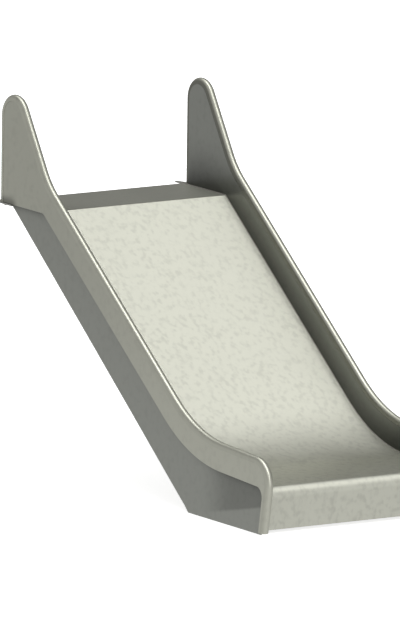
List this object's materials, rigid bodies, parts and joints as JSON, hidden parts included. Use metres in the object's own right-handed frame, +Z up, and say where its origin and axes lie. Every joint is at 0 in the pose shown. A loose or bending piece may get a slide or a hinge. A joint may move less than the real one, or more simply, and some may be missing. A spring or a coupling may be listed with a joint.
{
  "type": "embankment slide",
  "caption": "Straight embankment slide of folded sheet steel: a flat seat between two tall ears, double-skinned cheeks with round rims, a long chute and a low curved run-out.",
  "frame": {"origin": "on the ground, at the middle of the foot rail's underside, under the run-out", "axes": "+Z up; +Y uphill, from the foot to the seat; +X to the right when looking uphill from the foot"},
  "size_m": [1.08, 2.4863, 1.7581],
  "materials": {
    "bed_steel": "satin, faintly clouded by use",
    "cheek_steel": "satin, faintly clouded",
    "frame_steel": "dull mill finish"
  },
  "bodies": {
    "root": {"slide_bed": "bed_steel", "seat_plate": "bed_steel", "left_side_sheet": "cheek_steel", "right_side_sheet": "cheek_steel", "left_outer_band": "cheek_steel", "right_outer_band": "cheek_steel", "left_band_return": "cheek_steel", "left_leg_closing": "cheek_steel", "right_band_return": "cheek_steel", "right_leg_closing": "cheek_steel", "left_ear_rim": "cheek_steel", "left_slope_rim": "cheek_steel", "left_nose_rim": "cheek_steel", "right_ear_rim": "cheek_steel", "right_slope_rim": "cheek_steel", "right_nose_rim": "cheek_steel", "left_back_lug": "frame_steel", "right_back_lug": "frame_steel", "left_edge_flange": "frame_steel", "right_edge_flange": "frame_steel", "left_base_flange": "frame_steel", "right_base_flange": "frame_steel", "seat_rib": "frame_steel", "slope_rib_1": "frame_steel", "slope_rib_2": "frame_steel", "slope_rib_3": "frame_steel", "slope_rib_4": "frame_steel", "curve_rib": "frame_steel", "run_out_rib_1": "frame_steel", "run_out_rib_2": "frame_steel", "foot_rail": "frame_steel", "back_rail": "frame_steel"}
  },
  "joints": []
}
